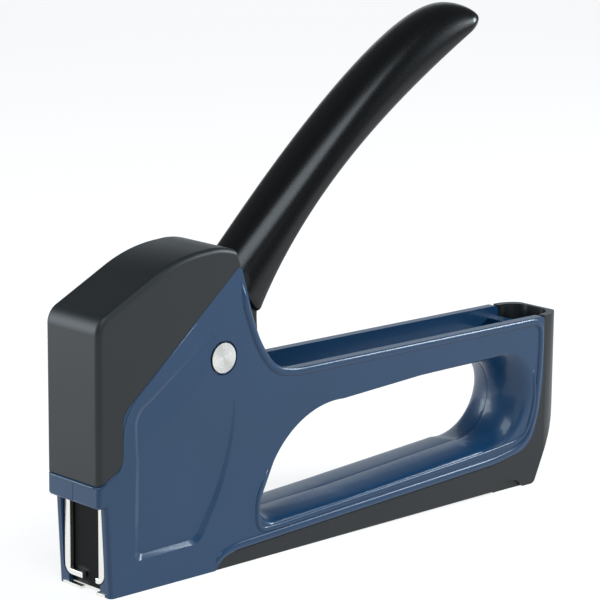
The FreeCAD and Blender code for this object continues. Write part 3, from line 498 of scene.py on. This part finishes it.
# %% Make the lip and the beads
RIGHT, LEFT = -1.0, 1.0
SCREWS_FROM = 132.0     # on the left the opening's bead stops short of the two rear screws
BEADS = {
    # which: outline, width, how proud, inset, taper; all in mm
    "edge": (SHELL_EDGE, 2.0, 0.45, 1.1, 3.0),
    "opening": (OPENING_EDGE, 1.5, 0.35, -0.7, 10.0),
    "cap": (CAP_EDGE, 0.7, 0.16, -0.45, 2.0),
}
beads = [make_nose_lip(reach=SIDE_FACE - 0.9, radius=0.4, front=NOSE_FACE, height=27.9)]
for which, (corners, width, proud, inset, taper) in BEADS.items():
    path = rounded_path(corners)
    beads.append(make_bead(f"right_{which}_bead", path, width, proud, inset, taper, RIGHT))
    if which == "opening":
        path = path[path[:, 0] < SCREWS_FROM]
    beads.append(make_bead(f"left_{which}_bead", path, width, proud, inset, taper, LEFT))
for bead in beads:
    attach(bead, "frame")
    print(bead.name, len(bead.data.polygons), "faces")


# %% [markdown]
# Two compression springs shorten when the tool works. Each is a round wire carried along a helix whose
# pitch closes up over the last turn at both ends, so that it stands square. Each is hung on its body and
# moves with it whole.

# %% Coil springs
END_TURN_PITCH = 1.02   # in wires: the end turns almost touch
POINTS_PER_TURN = 28
POINTS_ROUND_WIRE = 8


def make_coil(name, axis, radius, wire, start, end, turns):
    """Helix from start to end: both end turns rise by one wire only, and the rest share what is left."""
    share = np.linspace(0.0, turns, int(turns * POINTS_PER_TURN) + 1)
    low, high = 0.5 * wire, np.linalg.norm(end - start) - 0.5 * wire
    closed = wire * END_TURN_PITCH
    rise = np.interp(share, [0.0, 1.0, turns - 1.0, turns], [low, low + closed, high - closed, high])
    angle = 2.0 * np.pi * share
    across = np.array([0.0, 1.0, 0.0])
    spoke = np.cos(angle)[:, None] * across + np.sin(angle)[:, None] * np.cross(axis, across)
    path = start + rise[:, None] * axis + radius * spoke
    turn = np.linspace(0.0, 2.0 * np.pi, POINTS_ROUND_WIRE, endpoint=False)[None, :, None]
    grid = path[:, None] + 0.5 * wire * (np.cos(turn) * spoke[:, None] + np.sin(turn) * axis)
    points = np.concatenate([grid.reshape(-1, 3), [path[0], path[-1]]])
    return mesh_piece(name, points, pointed_faces(len(path), POINTS_ROUND_WIRE), spring_steel)


def make_spring(node, name, axis, wire, turns, body):
    """A coil in the box of its frame node, hung on a body in place of that node."""
    low, high = (np.array(corner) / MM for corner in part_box(node))
    middle = 0.5 * (low + high)
    start, end = middle * (1 - axis) + low * axis, middle * (1 - axis) + high * axis
    radius = 0.5 * (high - low)[1] - 0.5 * wire
    coil = make_coil(name, axis, radius, wire, start, end, turns)
    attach(coil, body)
    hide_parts(node)
    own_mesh(coil)


UP = np.array([0.0, 0.0, 1.0])
REARWARD = np.array([1.0, 0.0, 0.0])
make_spring("drive_spring", "drive_coil", UP, wire=1.3, turns=9.0,
            body="frame")
make_spring("pusher_spring", "pusher_coil", REARWARD, wire=0.44, turns=22.0,
            body="magazine")


# %% [markdown]
# A moulded or cast edge is never sharp. The frame's meshes are loose triangles, so each is welded first;
# then a Bevel rounds only edges that turn by more than its angle, and the shading normals follow the flats.

# %% Soften the edges
WELD_MM = 0.002
BEVEL_FROM_DEGREES = 40.0
EDGE_ROUNDS_MM = {"right_housing": 0.8, "left_housing": 0.8, "head_cap": 0.3, "rear_cover": 0.7,
                  "nose_guide": 0.2, "sole_plate": 0.15, "lever_arm": 0.4, "pivot_rivet": 0.25}


def soften(piece, width_mm):
    """Weld, then bevel by angle with the normals held on the flats."""
    weld = piece.modifiers.new("weld", "WELD")
    weld.merge_threshold = WELD_MM * MM
    bevel = piece.modifiers.new("edge", "BEVEL")
    bevel.width = width_mm * MM
    bevel.segments = 3
    bevel.limit_method = "ANGLE"
    bevel.angle_limit = math.radians(BEVEL_FROM_DEGREES)
    bevel.harden_normals = True
    bevel.use_clamp_overlap = True


for name, width in EDGE_ROUNDS_MM.items():
    soften(nodes[name], width)
print("softened", len(EDGE_ROUNDS_MM), "frame pieces")


# %% [markdown]
# The tool stands on a wide plain floor. A lamp strong enough to turn the floor white would wash out the
# tool, so the floor gives off a little light of its own and stays nearly white under soft lamps. It is wide
# enough that its far edge is never seen.

# %% Floor
FLOOR_HALF = 12.0
FLOOR_GLOW = 0.78


def make_floor(half):
    """One square face at the height the tool stands on."""
    mesh = bpy.data.meshes.new("floor")
    corners = [(-half, -half, 0), (half, -half, 0), (half, half, 0), (-half, half, 0)]
    mesh.from_pydata(corners, [], [(0, 1, 2, 3)])
    floor = bpy.data.objects.new("floor", mesh)
    bpy.context.scene.collection.objects.link(floor)
    material, tree, shader = new_material("pale_floor", Base_Color=linear("#8A8A8A"), Roughness=0.9,
                                          Emission_Color=linear("#FFFFFF"), Emission_Strength=FLOOR_GLOW)
    mesh.materials.append(material)
    return floor


print("made", make_floor(FLOOR_HALF).name, "of", 2 * FLOOR_HALF, "m")


# %% [markdown]
# The light is that of a small studio. A big soft lamp hangs overhead, and a weak one fills the front. Two
# stand behind, where the blue rims and the steel throw them back as thin bright lines. The one at the right
# front is smaller, because its size is what sets the width of the bright band along the lever.

# %% Lights
LIGHT_COLOUR = "#EAF6FF"
LIGHT_AIM = (0.07, 0.0, 0.06)
LIGHTS = {
    # name: place in m, side in m, power in W
    "overhead": ((-0.35, -0.45, 1.0), 0.6, 7.0),
    "left_rear": ((-0.66, 0.7, 0.3), 0.6, 8.5),
    "right_front": ((0.86, -0.5, 0.52), 0.31, 11.0),
    "front_fill": ((-0.35, -1.1, 0.35), 0.7, 1.6),
    "right_rear": ((1.15, 1.22, 0.36), 0.95, 2.2),
}
for name, (place, side, power) in LIGHTS.items():
    data = bpy.data.lights.new(name, "AREA")
    data.size = side
    data.energy = power
    data.color = linear(LIGHT_COLOUR)[:3]
    lamp = bpy.data.objects.new(name, data)
    lamp.location = place
    lamp.rotation_mode = "QUATERNION"
    lamp.rotation_quaternion = (Vector(LIGHT_AIM) - Vector(place)).to_track_quat("-Z", "Y")
    bpy.context.scene.collection.objects.link(lamp)
    print(name, side, "m across,", power, "W")


# %% [markdown]
# Past the floor is the world. The backdrop should be white, but a white world would light every side alike
# and flatten the forms. So the world is white where it is looked at directly, and a dim grey everywhere
# that light bounces off.

# %% World
SURROUND = 0.15


def make_studio_world(surround):
    """White for direct views and surround for all other rays, chosen by the Light Path node."""
    world = bpy.data.worlds.new("studio")
    world.use_nodes = True
    tree = world.node_tree
    shown = tree.nodes["Background"]
    shown.inputs["Color"].default_value = linear("#FFFFFF")
    dim = add_node(tree, "ShaderNodeBackground", inputs={"Color": linear("#FFFFFF"), "Strength": surround})
    path = add_node(tree, "ShaderNodeLightPath")
    both = add_node(tree, "ShaderNodeMixShader", links={"Fac": path.outputs["Is Camera Ray"]})
    tree.links.new(dim.outputs["Background"], both.inputs[1])
    tree.links.new(shown.outputs["Background"], both.inputs[2])
    tree.links.new(both.outputs["Shader"], tree.nodes["World Output"].inputs["Surface"])
    return world


bpy.context.scene.world = make_studio_world(SURROUND)
bpy.context.scene.view_settings.view_transform = "Standard"
print("world's surround", SURROUND)


# %% [markdown]
# The camera looks down a little on the nose and the right side, from far enough off, through a long lens,
# that the tool's sides stay nearly parallel. It is turned by half a degree about its own line of sight.

# %% Camera
EYE = Vector((-0.3841, -0.4876, 0.2096))
AIM = Vector((0.0693, 0.0, 0.0613))
ROLL = 0.52
LENS_MM = 162.1
SENSOR_MM = 36.0
camera_data = bpy.data.cameras.new("camera")
camera_data.lens = LENS_MM
camera_data.sensor_width = SENSOR_MM
camera_data.clip_start = 0.01
camera = bpy.data.objects.new("camera", camera_data)
camera.location = EYE
camera.rotation_mode = "QUATERNION"
look = (AIM - EYE).to_track_quat("-Z", "Y")
camera.rotation_quaternion = look @ Quaternion((0.0, 0.0, 1.0), math.radians(ROLL))
bpy.context.scene.collection.objects.link(camera)
bpy.context.scene.camera = camera
print("camera", round((AIM - EYE).length, 3), "m from its aim")
